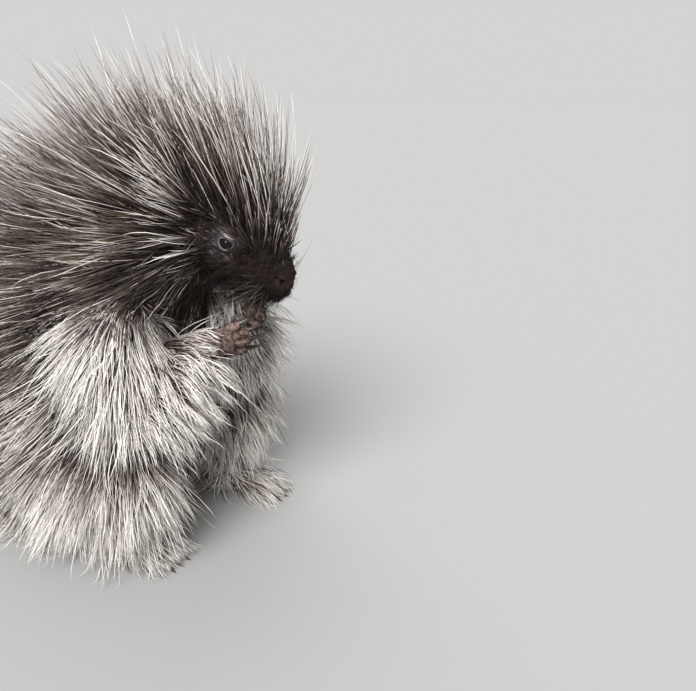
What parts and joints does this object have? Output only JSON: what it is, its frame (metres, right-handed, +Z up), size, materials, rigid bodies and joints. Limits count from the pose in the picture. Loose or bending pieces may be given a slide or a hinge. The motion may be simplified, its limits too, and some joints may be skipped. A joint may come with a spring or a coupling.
{
  "type": "north american porcupine",
  "caption": "Life-size still model of a porcupine sitting upright on its haunches, forepaws raised to the mouth, long grizzled coat and quills raised",
  "frame": {"origin": "middle of the flat of the seat, on the floor", "axes": "+X the way the animal faces, +Y to its left, +Z up"},
  "size_m": [0.6048, 0.3685, 0.5346],
  "materials": {
    "long_coat": "long coarse guard hair, dark brown at the root and grey-white towards the tip",
    "face_fur": "short dense dark brown fur",
    "ear_fur": "short dark fur outside, bare dark skin inside",
    "tail_coat": "stiff bristles and quills, dark with pale tips",
    "paw_skin": "bare pebbled skin on palm and sole, short dark fur on the back",
    "claw": "smooth dark horn",
    "eye": "wet glossy near-black eyeball"
  },
  "bodies": {
    "root": {"ear_left": "ear_fur", "ear_right": "ear_fur", "eye_left": "eye", "eye_right": "eye", "fore_claw_1_left": "claw", "fore_claw_1_right": "claw", "fore_claw_2_left": "claw", "fore_claw_2_right": "claw", "fore_claw_3_left": "claw", "fore_claw_3_right": "claw", "fore_claw_4_left": "claw", "fore_claw_4_right": "claw", "forearm_left": "long_coat", "forearm_right": "long_coat", "forepaw_left": "paw_skin", "forepaw_right": "paw_skin", "head": "face_fur", "hind_claw_1_left": "claw", "hind_claw_1_right": "claw", "hind_claw_2_left": "claw", "hind_claw_2_right": "claw", "hind_claw_3_left": "claw", "hind_claw_3_right": "claw", "hind_claw_4_left": "claw", "hind_claw_4_right": "claw", "hind_claw_5_left": "claw", "hind_claw_5_right": "claw", "hind_foot_left": "paw_skin", "hind_foot_right": "paw_skin", "lower_jaw": "face_fur", "neck": "long_coat", "shin_left": "long_coat", "shin_right": "long_coat", "tail": "tail_coat", "thigh_left": "long_coat", "thigh_right": "long_coat", "torso": "long_coat", "upper_arm_left": "long_coat", "upper_arm_right": "long_coat"}
  },
  "joints": []
}
